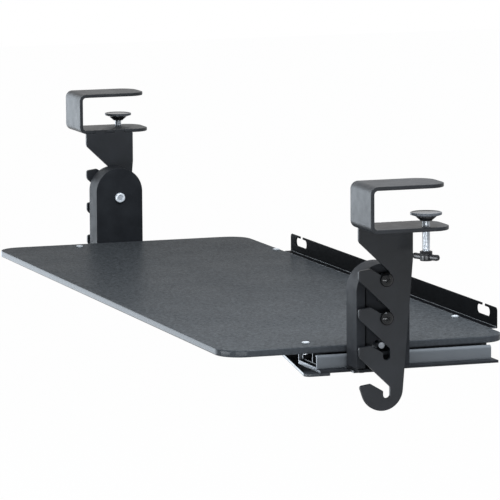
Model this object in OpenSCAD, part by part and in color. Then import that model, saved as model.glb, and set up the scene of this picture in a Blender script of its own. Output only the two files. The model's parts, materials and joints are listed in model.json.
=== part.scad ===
// Clamp-on, height-adjustable, sliding keyboard tray that hangs under the front edge of a desk.
// Units are millimetres, +Z up, +X to the user's right, +Y away from the user, under the desk.
// The modules are written about the tray: X 0 is its middle, Y 0 its front edge and Z 0 its top.
// placed() then moves everything so that the origin is the desk's top front edge, mid-width.

/* [Tray board] */
// Width of the board
tray_width = 630; // [560:1:760]
// Depth of the board
tray_depth = 233; // [210:1:270]
// Thickness of the board
tray_thick = 5.5; // [4:0.5:8]
// Radius of the board's corners in plan
tray_corner_r = 20; // [8:1:30]

/* [Tray screws] */
// Radius of a screw's shank
screw_r = 2; // [1.5:0.1:2.4]
// Radius of a screw's head
screw_head_r = 3.6; // [3:0.1:4.5]
// Height of a screw's head
screw_head_h = 1.6; // [1:0.1:2.4]
// Length of shank below the board
screw_below = 3; // [2:0.5:4]
// Distance of the front screws ahead of the slides
front_screw_ahead = 1.5; // [1:0.5:6]
// Distance of each back screw from the board's side
back_screw_side = 101; // [96:1:125]
// Distance of the back screws from the board's back edge
back_screw_inset = 4.5; // [4:0.5:12]
// Distance of the hidden slide screws from the slides' back ends
rear_screw_inset = 17; // [10:1:40]
// Depth that a hidden slide screw reaches into the board
rear_screw_grip = 3; // [2:0.5:3.5]
// Space past the end of a hidden slide screw
rear_screw_end = 0.3; // [0.1:0.1:0.4]
// Clearance of every screw, pin and rivet in its hole
hole_gap = 0.05; // [0.02:0.01:0.1]
// Length of a head's cross recess
recess_length = 3.6; // [2.8:0.1:4]
// Width of a head's cross recess
recess_width = 0.7; // [0.5:0.1:1]
// Depth of a head's cross recess
recess_depth = 0.7; // [0.4:0.1:1]

/* [Rear fence] */
// Distance of the wall's left end inside the board's side
fence_left_inset = 110; // [105:1:150]
// Distance of the wall's right end inside the board's side
fence_right_inset = 40; // [38:1:80]
// Height of the wall above the board
fence_rise = 15.3; // [12:0.1:30]
// Thickness of the fence's sheet
fence_sheet = 1.2; // [0.8:0.1:1.6]
// Depth of the ledge between the board and the back of the wall
fence_ledge = 7; // [4:0.2:12]
// Depth of the leg under the board
fence_leg = 28; // [16:1:40]
// Length of the leg past its left screw
fence_leg_margin = 7; // [5:1:12]
// Radius of the wall's top corners
fence_corner_r = 3; // [1:0.5:5]
// Distance of each cable notch from the wall's end
notch_inset = 27.5; // [22:0.5:60]
// Width of a cable notch
notch_width = 27; // [16:1:34]
// Height of a cable notch
notch_height = 7; // [6:0.5:9]
// Height of the lips over a cable notch
notch_lip = 2; // [1.5:0.5:3]
// Width of the slit between the lips
notch_slit = 6.5; // [5:0.5:9]

/* [Slides] */
// Distance of each slide's middle inside the board's side
slide_inset = 17.5; // [15:0.5:40]
// Width of a slide's outer channel
slide_width = 42; // [41:0.5:46]
// Distance of the slides' back ends ahead of the board's back edge
slide_back_gap = 16; // [8:1:22]
// Length of a slide when closed
slide_length = 143; // [130:1:150]
// Height of the closed slide
slide_height = 11.9; // [11.8:0.1:16]
// Gap between the board and the outer channel
slide_top_gap = 1.2; // [1:0.1:4]
// Thickness of the outer channel
slide_sheet = 1.3; // [1:0.1:1.4]
// Outer radius of the outer channel's turned-in lips
slide_lip = 2.4; // [1.8:0.1:3]
// Flat part of each turned-in lip
slide_lip_flat = 0.6; // [0.4:0.1:1]
// Half width of the middle channel
mid_half = 16.2; // [15.5:0.1:16.6]
// Thickness of the middle and inner channels
mid_sheet = 1.2; // [1:0.1:1.3]
// Clearance between the outer and middle channels' floors
mid_floor_gap = 0.4; // [0.3:0.1:0.6]
// Distance of the middle channel's ends inside the slide's ends
mid_end_inset = 3; // [1:0.5:6]
// Height of the middle channel
mid_height = 6.8; // [5:0.1:7.2]
// Half width of the inner channel
inner_half = 11.5; // [9:0.1:12]
// Depth of the inner channel
inner_depth = 8.2; // [6:0.1:8.4]
// Half width of the inner channel's front tongue
tongue_half = 7; // [5:0.5:9]
// Length of the front tongue ahead of the slide
tongue_length = 8; // [7:0.5:14]
// Clearance between a ball and its track
ball_gap = 0.3; // [0.2:0.05:0.4]
// Depth that a ball sits in the middle channel's wall
ball_sink = 0.15; // [0.1:0.05:0.3]
// Number of balls in each row
ball_count = 3; // [2:1:5]
// Spacing of the balls along a row
ball_pitch = 22; // [12:1:24]
// Distance of the first ball from the middle channel's end
ball_inset = 6; // [4:0.5:12]
// Height of the balls' middles above the middle channel's floor
ball_up = 2.6; // [2.2:0.1:3]

/* [Slide beds and cross plate] */
// Thickness of the bed under each slide
bed_thick = 2; // [1.5:0.5:3]
// Reach of the bed past the carrier's inner face
bed_reach = 3.5; // [2:0.5:6]
// Reach of the bed's tongue under the carrier
bed_tongue = 10.5; // [10:0.5:14]
// Distance of the tongue's sides inside the carrier's
bed_tongue_inset = 2; // [1:0.5:4]
// Length of the bed behind the slide
bed_tail = 3; // [1:0.5:8]
// Thickness of the cross plate
cross_thick = 2.5; // [2:0.5:4]
// Width of the cross plate across its middle
cross_waist = 54; // [40:1:70]
// Distance of the middle's centre line behind the hanging line
cross_waist_back = 5; // [0:1:10]
// Length of straight back edge at each side of the cross plate
cross_back_flat = 80; // [60:1:90]
// Width in X over which the back edge runs forward to the waist
cross_back_taper = 70; // [50:1:90]
// Distance of the cross plate's side edge inside the carrier's inner face
cross_side_inset = 20.5; // [18:0.5:24]
// Distance of the cross plate's front ears ahead of the slides
ear_ahead = 11; // [6:0.5:16]
// Length of each ear along the side
ear_length = 20; // [14:0.5:24]
// Reach of each ear past the carrier's inner face
ear_reach = 1.5; // [0:0.5:4]
// Radius of an ear's corners
ear_corner_r = 5; // [3:0.5:7]
// Distance of the cross plate's back edge ahead of the slides' back ends
cross_back_inset = 27; // [15:1:40]
// Width in X over which the front edge runs back towards the waist
cross_taper = 190; // [120:1:230]
// Radius of a rivet's shank
rivet_r = 2; // [1.5:0.1:2.5]
// Radius of a rivet's head
rivet_head_r = 3.8; // [3:0.1:4.5]
// Height of a rivet's head
rivet_head_h = 1.4; // [1:0.1:2]
// Distance of the bed rivets from the slide's ends
bed_rivet_inset = 42; // [32:1:55]
// Radius of a carrier rivet's heads
flange_head_r = 3.4; // [3:0.1:3.8]
// Height of a carrier rivet's upper head
flange_head_h = 1.4; // [1:0.1:2]
// Height of a carrier rivet's lower head
flange_foot_h = 1; // [0.6:0.1:1.4]
// Gap between a carrier rivet's head and the carrier's sheet
flange_head_gap = 0.3; // [0.2:0.05:0.6]

/* [Carriers] */
// Distance of the carrier's inner face outside the board's side
carrier_gap = 7.5; // [6:0.5:12]
// Width of the carrier
carrier_width = 43; // [42:0.5:50]
// Depth of the carrier's wrapped rim
carrier_depth = 22.5; // [20:0.5:24.5]
// Thickness of the carrier's sheet
carrier_sheet = 2; // [1.5:0.1:2.2]
// Width of the flange that returns inwards from the rim
carrier_return = 7.1; // [6:0.1:7.3]
// Height of the rim's round above the pivot
carrier_round_up = 4.85; // [4:0.05:8]
// Gap between the rim's side walls and its bottom flange
carrier_relief = 1.2; // [0.8:0.1:3]
// Distance of the carrier rivets from the carrier's middle
carrier_rivet_y = 12; // [8:0.5:15]

/* [Hook plates] */
// Distance of the hanging line ahead of the slides' back ends
hang_ahead = 99; // [90:1:110]
// Distance of the hook plate's inner face outside the carrier's inner face
hook_gap = 27; // [26.5:0.5:32]
// Thickness of a hook plate
hook_thick = 3; // [2.5:0.5:4]
// Distance of the teeth's front edge ahead of the hanging line
hook_front = 22.2; // [20:0.2:26]
// Distance of the plate's back edge behind the hanging line, at the top
hook_back = 21.6; // [18:0.2:26]
// Height of the plate's full-width part below the strap
hook_neck = 25.5; // [15:0.5:30]
// Distance of the top seat below the strap
seat_drop = 40.7; // [38:0.1:50]
// Height between two seats
seat_pitch = 29.3; // [28:0.1:34]
// Number of seats
seat_count = 4; // [4:1:5]
// Clearance between a pin and its seat
seat_gap = 0.3; // [0.2:0.05:0.4]
// Height of a tooth's lip above the seat
lip_rise = 2.9; // [2:0.1:3.2]
// Height of a tooth's top above the seat
tooth_rise = 8.9; // [8:0.1:10]
// Fall of a tooth's top towards its front edge
tooth_fall = 1.3; // [0.5:0.1:2]
// Depth of the slope between a tooth's lip and its top
tooth_run = 10; // [8:0.5:11]
// Radius of a tooth's top front corner
tooth_corner_r = 2; // [1:0.5:2.5]
// Radius of a tooth's lower front corner
tooth_foot_r = 5; // [2:0.5:6]
// Height of a notch's upper edge above the seat, at the seat's back wall
notch_rise = 5.9; // [5.6:0.1:7]
// Height of a notch's upper edge above the seat, at the teeth's front edge
mouth_rise = 29.7; // [26:0.1:30]
// Radius of the plate's bottom end
hook_end_r = 16.7; // [16:0.1:18]
// Distance of the bottom round's middle ahead of the hanging line
hook_end_ahead = 3.5; // [2:0.1:4.5]
// Height of the bottom round's middle above the last seat
hook_end_up = 4.4; // [3.5:0.1:5.5]
// Angle below level at which the front edge leaves the bottom round, in degrees
hook_front_angle = 20; // [10:1:30]
// Angle below level at which the back edge leaves the bottom round, in degrees
hook_back_angle = 5; // [0:1:10]
// Length of each welded tab along the strap
tab_length = 10; // [6:0.5:14]
// Distance of the front tab's middle ahead of the hanging line
tab_front = 9; // [6:0.5:12]
// Distance of the back tab's middle behind the hanging line
tab_back = 9; // [6:0.5:12]
// Height of the tabs above the strap's lower arm
tab_proud = 0; // [0:0.1:1]

/* [Clamp straps] */
// Thickness of a strap
strap_thick = 3; // [2:0.5:4]
// Width of a strap
strap_width = 44.5; // [40:0.5:55]
// Height of a strap over both arms
strap_height = 35.5; // [32:0.5:60]
// Height of the strap's underside above the board
strap_above = 94.5; // [90:0.5:140]
// Distance of the web's front face ahead of the hanging line
web_ahead = 28; // [26:0.5:34]
// Outer radius of the bends
bend_r = 6; // [4.5:0.5:9]
// Length of the upper arm from the web's front face
upper_arm = 63; // [55:1:80]
// Length of the lower arm from the web's front face
lower_arm = 67; // [62:1:80]
// Radius of the arms' corners in plan
arm_corner_r = 15; // [6:0.5:20]

/* [Clamp screws] */
// Radius of the threaded rod
rod_r = 2.95; // [2.5:0.05:3.95]
// Clearance of the rod in the tapped hole
rod_gap = 0.05; // [0.02:0.01:0.1]
// Distance of the screw from the strap's outer edge
rod_inset = 8; // [7:0.5:14]
// Distance of the screw behind the web's front face
rod_back = 47; // [40:0.5:50]
// Height of the pad's top above the lower arm, as stored
pad_above = 11.1; // [8:0.1:14]
// Radius of the swivel pad
pad_r = 12; // [9:0.5:16]
// Thickness of the pad's rim
pad_thick = 2; // [1.5:0.1:3]
// Depth of the pad's dished underside
pad_dish = 1.2; // [0.6:0.1:2]
// Height of the pad's socket
socket_h = 3.4; // [3:0.1:5]
// Radius of the socket under the dish
socket_top_r = 7.8; // [6:0.1:9]
// Radius of the socket at its bottom
socket_bottom_r = 4.7; // [4.5:0.1:5.6]
// Distance of the bore's end below the pad's disc
socket_roof = 0.3; // [0.2:0.1:1]
// Space over the rod's end in the bore
rod_end_gap = 0.3; // [0.2:0.1:0.6]
// Distance of the knob's top below the strap, as stored
knob_drop = 15.3; // [12:0.1:20]
// Height of the knob's hub
knob_hub_h = 7.4; // [6:0.1:12]
// Radius of the knob's hub
knob_hub_r = 4.7; // [4.5:0.1:7]
// Half of the knob's wing span
wing_half = 12.5; // [10:0.5:16]
// Thickness of a wing
wing_thick = 3.4; // [2.5:0.1:5]
// Height of a wing
wing_h = 4.8; // [4:0.1:9]
// Height of a wing above the hub's bottom
wing_up = 0.6; // [0:0.1:1]
// Clearance of the knob on the rod
knob_gap = 0.02; // [0.01:0.01:0.05]
// Angle of the wings from the X axis, as stored
wing_angle = 29; // [0:1:90]

/* [Pin plates and pivots] */
// Thickness of a pin plate
pin_plate_thick = 3; // [2:0.5:3.5]
// Gap between a pin plate and the carrier's return flange
pin_plate_gap = 0.3; // [0.2:0.1:0.6]
// Half width of a pin plate
pin_plate_half = 12.8; // [9:0.1:13]
// Height of a pin plate above the upper pin
pin_plate_up = 8; // [6:0.5:9]
// Distance of a pin plate's bottom below the tilt stop
pin_plate_down = 7; // [6.5:0.5:8]
// Radius of a hook pin
pin_r = 2.5; // [2:0.1:2.8]
// Radius of a hook pin's head
pin_head_r = 5.3; // [4:0.1:6]
// Thickness of a hook pin's head
pin_head_h = 3; // [2:0.1:4]
// Length of the cross recess in a hook pin's head
pin_cross_length = 5.6; // [4:0.1:6.5]
// Width of the cross recess in a hook pin's head
pin_cross_width = 1.1; // [0.8:0.1:1.4]
// Depth of the cross recess in a hook pin's head
pin_cross_depth = 1.2; // [0.8:0.1:1.6]
// Radius of a hook pin's collar
pin_collar_r = 4; // [3.5:0.1:4.2]
// Side play of the pins' heads and collars
pin_side_gap = 0.5; // [0.3:0.1:0.8]
// Radius of the pivot bolt
pivot_r = 3; // [2.5:0.1:3.5]
// Running clearance of the pivot bolt
pivot_gap = 0.05; // [0.02:0.01:0.1]
// Side clearance of the carrier on its pivot
pivot_side_gap = 0.15; // [0.1:0.05:0.3]
// Radius of the pivot bolt's domed head
bolt_head_r = 4.4; // [3.6:0.1:6]
// Height of the pivot bolt's domed head
bolt_head_h = 3.2; // [2:0.1:4]
// Radius of the pivot spacer
spacer_r = 5.5; // [4.5:0.1:7]
// Distance across the pivot nut's corners, halved
nut_r = 5.2; // [4.5:0.1:6]
// Thickness of the pivot nut
nut_h = 3.6; // [2.5:0.1:4]
// Radius of the tilt stop pin
stop_r = 2.5; // [2:0.1:3]
// Distance of the tilt stop below the pivot
stop_drop = 37; // [32:0.5:38]
// Half height of the window that the tilt stop runs in
stop_window = 4.4; // [3.4:0.1:4.8]
// Space between the stop and the window's end at the largest tilt
stop_play = 0.3; // [0.1:0.1:0.5]
// Radius of the tilt stop's shoulder beside the carrier
stop_collar_r = 4.3; // [3.8:0.1:5]
// Thickness of the tilt stop's shoulder
stop_collar_h = 2.4; // [1.5:0.1:4]
// Distance of the stop pin's end inside the pin plate's outer face
stop_end_inset = 1; // [0:0.1:1.5]
// Largest tilt to each side, in degrees
tilt_max = 8; // [5:0.5:8]

/* [Hidden] */
$fn = 64;
eps = 0.01;
// Overlap that joins a corner's round to its edges
join = 0.004;
// Share of a domed head's height that is dome
dome_share = 0.6;

// Distances from the middle to each side's parts
half_width = tray_width / 2;
slide_x = half_width - slide_inset;
carrier_x = half_width + carrier_gap;
carrier_rim_x = carrier_x + carrier_depth;
carrier_rivet_x = carrier_x + carrier_sheet + flange_head_gap + flange_head_r;
hook_x = carrier_x + hook_gap;
hook_outer_x = hook_x + hook_thick;
strap_outer_x = hook_x + strap_width;
rod_x = strap_outer_x - rod_inset;
back_screw_x = half_width - back_screw_side;
fence_left = half_width - fence_left_inset;
fence_right = half_width - fence_right_inset;
// Heights
tray_bottom = -tray_thick;
slide_bottom = tray_bottom - slide_height;
slide_top = tray_bottom - slide_top_gap;
bed_bottom = slide_bottom - bed_thick;
cross_bottom = bed_bottom - cross_thick;
strap_top = strap_above + strap_height;
arm_top = strap_above + strap_thick;
seat_top = strap_above - seat_drop;
pivot_z = seat_top - seat_pitch / 2;
round_z = pivot_z + carrier_round_up;
stop_z = pivot_z - stop_drop;
pad_top = arm_top + pad_above;
socket_bottom = pad_top - pad_thick - pad_dish - socket_h;
bore_top = socket_bottom + socket_h - socket_roof;
knob_top = strap_above - knob_drop;
mid_floor = slide_bottom + slide_sheet + mid_floor_gap;
// Places along the depth
slide_back = tray_depth - slide_back_gap;
slide_front = slide_back - slide_length;
hang_y = slide_back - hang_ahead;
web_y = hang_y - web_ahead;
rod_y = web_y + rod_back;
seat_half = pin_r + seat_gap;
teeth_y = hang_y - hook_front;
bed_rivet_ys = [slide_front + bed_rivet_inset, slide_back - bed_rivet_inset];
// Ball rows
track_inner = slide_width / 2 - slide_sheet;
outer_ball_r = (track_inner - ball_gap - mid_half + ball_sink) / 2;
inner_ball_r = (mid_half - mid_sheet + ball_sink - inner_half - ball_gap) / 2;
ball_z = mid_floor + mid_sheet + ball_up;
// Pin plates
pin_plate_out = carrier_rim_x - carrier_sheet - pin_plate_gap;
pin_plate_in = pin_plate_out - pin_plate_thick;
pin_plate_round = seat_top + pin_plate_up - pin_plate_half;
pin_plate_bottom = stop_z - pin_plate_down;

module placed() {
  translate([0, -(web_y + strap_thick), -(strap_top - strap_thick)]) children();
}

module left() {
  mirror([1, 0, 0]) children();
}

// A box given by its two corners
module box(low, high) {
  translate(low) cube([high[0] - low[0], high[1] - low[1], high[2] - low[2]]);
}

// A cylinder along X
module xcyl(x0, x1, y, z, r) {
  translate([x0, y, z]) rotate([0, 90, 0]) cylinder(h = x1 - x0, r = r);
}

// A cylinder along Z
module zcyl(x, y, z0, z1, r) {
  translate([x, y, z0]) cylinder(h = z1 - z0, r = r);
}

// An upright outline in Y and Z, extruded along X
module yz_plate(x0, x1, points) {
  translate([x0, 0, 0]) rotate([90, 0, 90]) linear_extrude(height = x1 - x0) polygon(points);
}

// Middle of the round of radius r in the corner at p, between edges that run to a and b
function unit(v) = v / norm(v);
function corner_middle(p, a, b, r) =
  let (u = unit(a - p), v = unit(b - p)) p + unit(u + v) * r / sin(acos(u * v) / 2);

// A cutter for that corner; a cylinder of radius r then fills it to a round
module corner_off(x0, x1, p, a, b, r) {
  u = unit(a - p);
  v = unit(b - p);
  reach = r / tan(acos(u * v) / 2);
  yz_plate(x0 - 1, x1 + 1, [p - unit(u + v), p + u * reach, corner_middle(p, a, b, r), p + v * reach]);
}

// A flat plate with four round corners
module round_plate(low, high, r) {
  box([low[0] + r, low[1], low[2]], [high[0] - r, high[1], high[2]]);
  box([low[0], low[1] + r, low[2]], [high[0], high[1] - r, high[2]]);
  for (x = [low[0] + r, high[0] - r], y = [low[1] + r, high[1] - r]) zcyl(x, y, low[2], high[2], r);
}

// A low domed head along Z, from its flat face at 0
module dome_head(r, h) {
  dome = h * dome_share;
  ball = (r * r + dome * dome) / (2 * dome);
  intersection() {
    cylinder(h = h, r = r);
    translate([0, 0, h - ball]) sphere(r = ball);
  }
}

// Tray board
module tray_board() {
  color([0.12, 0.12, 0.13]) difference() {
    round_plate([-half_width, 0, tray_bottom], [half_width, tray_depth, 0], tray_corner_r);
    for (side = [-1, 1]) {
      zcyl(side * slide_x, slide_front - front_screw_ahead, tray_bottom - 1, 1, screw_r + hole_gap);
      zcyl(side * back_screw_x, tray_depth - back_screw_inset, tray_bottom - 1, 1, screw_r + hole_gap);
      zcyl(side * slide_x, slide_back - rear_screw_inset, tray_bottom - 1,
           tray_bottom + rear_screw_grip + rear_screw_end, screw_r + hole_gap);
    }
  }
}

// Rear fence, one bent sheet: a leg under the board, a riser, a ledge level with the board, and the wall
module fence() {
  wall_back = tray_depth + fence_ledge;
  notch_z = fence_rise - notch_lip - notch_height / 2;
  color([0.05, 0.05, 0.055]) difference() {
    union() {
      box([-back_screw_x - fence_leg_margin, tray_depth - fence_leg, tray_bottom - fence_sheet],
          [fence_right, tray_depth + fence_sheet, tray_bottom]);
      box([-fence_left, tray_depth, tray_bottom - fence_sheet], [fence_right, tray_depth + fence_sheet, 0]);
      box([-fence_left, tray_depth, -fence_sheet], [fence_right, wall_back, 0]);
      box([-fence_left, wall_back - fence_sheet, -fence_sheet],
          [fence_right, wall_back, fence_rise - fence_corner_r]);
      box([-fence_left + fence_corner_r, wall_back - fence_sheet, -fence_sheet],
          [fence_right - fence_corner_r, wall_back, fence_rise]);
      for (x = [-fence_left + fence_corner_r, fence_right - fence_corner_r])
        translate([x, wall_back, fence_rise - fence_corner_r]) rotate([90, 0, 0])
          cylinder(h = fence_sheet, r = fence_corner_r);
    }
    for (x = [-fence_left + notch_inset, fence_right - notch_inset]) {
      box([x - notch_width / 2 + notch_height / 2, wall_back - fence_sheet - 1, notch_z - notch_height / 2],
          [x + notch_width / 2 - notch_height / 2, wall_back + 1, notch_z + notch_height / 2]);
      for (side = [-1, 1])
        translate([x + side * (notch_width - notch_height) / 2, wall_back + 1, notch_z]) rotate([90, 0, 0])
          cylinder(h = fence_sheet + 2, r = notch_height / 2);
      box([x - notch_slit / 2, wall_back - fence_sheet - 1, notch_z],
          [x + notch_slit / 2, wall_back + 1, fence_rise + 1]);
    }
    for (side = [-1, 1])
      zcyl(side * back_screw_x, tray_depth - back_screw_inset, tray_bottom - fence_sheet - 1, tray_bottom + 1,
           screw_r + hole_gap);
  }
}

// A tray screw with its head on the board
module tray_screw(x, y) {
  color([0.75, 0.76, 0.78]) {
    zcyl(x, y, tray_bottom - screw_below, eps, screw_r);
    translate([x, y, 0]) difference() {
      dome_head(screw_head_r, screw_head_h);
      for (a = [0, 90]) rotate([0, 0, a])
        box([-recess_length / 2, -recess_width / 2, screw_head_h - recess_depth],
            [recess_length / 2, recess_width / 2, screw_head_h + 1]);
    }
  }
}

// The hidden screw at a slide's back end, with its head under the inner channel
module slide_screw() {
  color([0.75, 0.76, 0.78]) {
    zcyl(slide_x, slide_back - rear_screw_inset, tray_bottom - mid_sheet - eps, tray_bottom + rear_screw_grip, screw_r);
    translate([slide_x, slide_back - rear_screw_inset, tray_bottom - mid_sheet]) mirror([0, 0, 1])
      dome_head(screw_head_r, screw_head_h);
  }
}

// Inner channel of a slide, screwed to the board
module slide_inner() {
  color([0.32, 0.33, 0.35]) translate([slide_x, 0, 0]) difference() {
    union() {
      box([-inner_half, slide_front, tray_bottom - mid_sheet], [inner_half, slide_back, tray_bottom]);
      box([-tongue_half, slide_front - tongue_length, tray_bottom - mid_sheet],
          [tongue_half, slide_front + 1, tray_bottom]);
      for (side = [0, 1]) mirror([side, 0, 0])
        box([inner_half - mid_sheet, slide_front, tray_bottom - inner_depth], [inner_half, slide_back, tray_bottom]);
    }
    for (y = [slide_front - front_screw_ahead, slide_back - rear_screw_inset])
      zcyl(0, y, tray_bottom - mid_sheet - 1, tray_bottom + 1, screw_r + hole_gap);
  }
}

// Middle channel of a slide with its rows of balls
module slide_middle() {
  y0 = slide_front + mid_end_inset;
  y1 = slide_back - mid_end_inset;
  color([0.6, 0.61, 0.63]) translate([slide_x, 0, 0]) {
    box([-mid_half, y0, mid_floor], [mid_half, y1, mid_floor + mid_sheet]);
    for (side = [0, 1]) mirror([side, 0, 0]) {
      box([mid_half - mid_sheet, y0, mid_floor], [mid_half, y1, mid_floor + mid_height]);
      for (i = [0 : ball_count - 1]) {
        translate([track_inner - ball_gap - outer_ball_r, y1 - ball_inset - i * ball_pitch, ball_z])
          sphere(r = outer_ball_r, $fn = 32);
        translate([inner_half + ball_gap + inner_ball_r, y0 + ball_inset + i * ball_pitch, ball_z])
          sphere(r = inner_ball_r, $fn = 32);
      }
    }
  }
}

// Outer channel of a slide, with its lips turned in over the middle channel
module slide_outer() {
  half = slide_width / 2;
  color([0.14, 0.145, 0.15]) translate([slide_x, 0, 0]) difference() {
    union() {
      box([-half, slide_front, slide_bottom], [half, slide_back, slide_bottom + slide_sheet]);
      for (side = [0, 1]) mirror([side, 0, 0]) {
        box([half - slide_sheet, slide_front, slide_bottom], [half, slide_back, slide_top - slide_lip]);
        box([half - slide_lip - slide_lip_flat, slide_front, slide_top - slide_sheet],
            [half - slide_lip, slide_back, slide_top]);
        intersection() {
          translate([half - slide_lip, slide_back, slide_top - slide_lip]) rotate([90, 0, 0]) difference() {
            cylinder(h = slide_length, r = slide_lip);
            translate([0, 0, -1]) cylinder(h = slide_length + 2, r = slide_lip - slide_sheet);
          }
          box([half - slide_lip, slide_front - 1, slide_top - slide_lip], [half + 1, slide_back + 1, slide_top + 1]);
        }
      }
    }
    for (y = bed_rivet_ys) zcyl(0, y, slide_bottom - 1, slide_bottom + slide_sheet + 1, rivet_r + hole_gap);
  }
}

// Bed under a slide, with a tongue riveted under the carrier
module slide_bed() {
  color([0.1, 0.1, 0.11]) difference() {
    union() {
      box([slide_x - slide_width / 2, slide_front, bed_bottom],
          [carrier_x + bed_reach, slide_back + bed_tail, slide_bottom]);
      box([carrier_x, hang_y - carrier_width / 2 + bed_tongue_inset, bed_bottom],
          [carrier_x + bed_tongue, hang_y + carrier_width / 2 - bed_tongue_inset, slide_bottom]);
    }
    for (y = bed_rivet_ys) zcyl(slide_x, y, bed_bottom - 1, slide_bottom + 1, rivet_r + hole_gap);
    for (side = [-1, 1])
      zcyl(carrier_rivet_x, hang_y + side * carrier_rivet_y, bed_bottom - 1, slide_bottom + 1, rivet_r + hole_gap);
  }
}

// Rivets through the outer channel, the bed and the cross plate
module bed_rivets() {
  color([0.09, 0.09, 0.1]) for (y = bed_rivet_ys) {
    zcyl(slide_x, y, cross_bottom - eps, slide_bottom + slide_sheet, rivet_r);
    translate([slide_x, y, cross_bottom]) mirror([0, 0, 1]) dome_head(rivet_head_r, rivet_head_h);
  }
}

// Rivets through the carrier's bottom flange and the bed's tongue
module carrier_rivets() {
  color([0.09, 0.09, 0.1]) for (side = [-1, 1]) {
    y = hang_y + side * carrier_rivet_y;
    zcyl(carrier_rivet_x, y, bed_bottom - eps, slide_bottom + carrier_sheet + eps, rivet_r);
    translate([carrier_rivet_x, y, slide_bottom + carrier_sheet]) dome_head(flange_head_r, flange_head_h);
    translate([carrier_rivet_x, y, bed_bottom]) mirror([0, 0, 1]) dome_head(flange_head_r, flange_foot_h);
  }
}

// Cross plate that ties the two sides together, with an ear at each front corner
module cross_plate() {
  side_x = carrier_x - cross_side_inset;
  ear_x = carrier_x + ear_reach;
  ear_y = slide_front - ear_ahead;
  back_y = slide_back - cross_back_inset;
  waist_y = hang_y + cross_waist_back - cross_waist / 2;
  r = ear_corner_r;
  half = [
    [0, waist_y], [ear_x - cross_taper, waist_y], [ear_x - r, ear_y], [ear_x - r, ear_y + r], [ear_x, ear_y + r],
    [ear_x, ear_y + ear_length], [side_x, ear_y + ear_length], [side_x, back_y], [side_x - cross_back_flat, back_y],
    [side_x - cross_back_flat - cross_back_taper, waist_y + cross_waist], [0, waist_y + cross_waist]
  ];
  color([0.08, 0.08, 0.085]) translate([0, 0, cross_bottom]) difference() {
    union() {
      for (side = [0, 1]) mirror([side, 0, 0]) {
        linear_extrude(height = cross_thick) polygon(half);
        translate([ear_x - r, ear_y + r, 0]) cylinder(h = cross_thick, r = r);
      }
    }
    for (side = [-1, 1], y = bed_rivet_ys)
      translate([side * slide_x, y, -1]) cylinder(h = cross_thick + 2, r = rivet_r + hole_gap);
  }
}

// Solid outline of a carrier, drawn in by inset all round
module carrier_outline(x0, x1, inset, bottom) {
  r = carrier_width / 2 - inset;
  box([x0, hang_y - r, bottom], [x1, hang_y + r, round_z]);
  xcyl(x0, x1, hang_y, round_z, r);
}

// Carrier, a round-topped sheet with its rim wrapped outwards and returned inwards, and a bore for the pivot
module carrier() {
  half = carrier_width / 2;
  return_x = carrier_rim_x - carrier_sheet;
  color([0.11, 0.115, 0.12]) difference() {
    carrier_outline(carrier_x, carrier_rim_x, 0, slide_bottom);
    carrier_outline(carrier_x + carrier_sheet, return_x, carrier_sheet, slide_bottom + carrier_sheet);
    carrier_outline(return_x - 1, carrier_rim_x + 1, carrier_return, slide_bottom + carrier_sheet);
    // The bottom flange ends short of the return flange and of the rim's side walls
    box([return_x - carrier_relief, hang_y - half - 1, slide_bottom - 1],
        [carrier_rim_x + 1, hang_y + half + 1, slide_bottom + carrier_sheet + carrier_relief]);
    for (side = [-1, 1])
      box([carrier_x + carrier_sheet, hang_y + side * half - carrier_sheet - 1, slide_bottom - 1],
          [carrier_rim_x + 1, hang_y + side * half + carrier_sheet + 1, slide_bottom + carrier_sheet + carrier_relief]);
    xcyl(carrier_x - 1, carrier_x + carrier_sheet + 1, hang_y, pivot_z, pivot_r + pivot_gap);
    for (side = [-1, 1])
      zcyl(carrier_rivet_x, hang_y + side * carrier_rivet_y, slide_bottom - 1, slide_bottom + carrier_sheet + 1,
           rivet_r + hole_gap);
  }
}

// Pin plate, a bar with a round top that carries the two hook pins and the pivot, with a window for the tilt stop
module pin_plate() {
  // Half the window's straight part, up to the next tenth
  window_run = ceil(10 * (stop_drop * sin(tilt_max) - (stop_window - stop_r) + stop_play)) / 10;
  color([0.1, 0.1, 0.11]) difference() {
    union() {
      box([pin_plate_in, hang_y - pin_plate_half, pin_plate_bottom],
          [pin_plate_out, hang_y + pin_plate_half, pin_plate_round]);
      xcyl(pin_plate_in, pin_plate_out, hang_y, pin_plate_round, pin_plate_half);
    }
    for (z = [seat_top, seat_top - seat_pitch])
      xcyl(pin_plate_in - 1, pin_plate_out + 1, hang_y, z, pin_r + hole_gap);
    xcyl(pin_plate_in - 1, pin_plate_out + 1, hang_y, pivot_z, pivot_r + hole_gap);
    box([pin_plate_in - 1, hang_y - window_run, stop_z - stop_window],
        [pin_plate_out + 1, hang_y + window_run, stop_z + stop_window]);
    for (side = [-1, 1])
      xcyl(pin_plate_in - 1, pin_plate_out + 1, hang_y + side * window_run, stop_z, stop_window);
  }
}

// Hook pin with a collar inside the hook plate and a head outside it
module hook_pin(z) {
  color([0.04, 0.04, 0.045]) {
    xcyl(pin_plate_in, hook_outer_x + pin_side_gap + eps, hang_y, z, pin_r);
    xcyl(pin_plate_out, hook_x - pin_side_gap, hang_y, z, pin_collar_r);
    translate([hook_outer_x + pin_side_gap, hang_y, z]) rotate([0, 90, 0]) difference() {
      dome_head(pin_head_r, pin_head_h);
      for (a = [45, 135]) rotate([0, 0, a])
        box([-pin_cross_length / 2, -pin_cross_width / 2, pin_head_h - pin_cross_depth],
            [pin_cross_length / 2, pin_cross_width / 2, pin_head_h + 1]);
    }
  }
}

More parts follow.
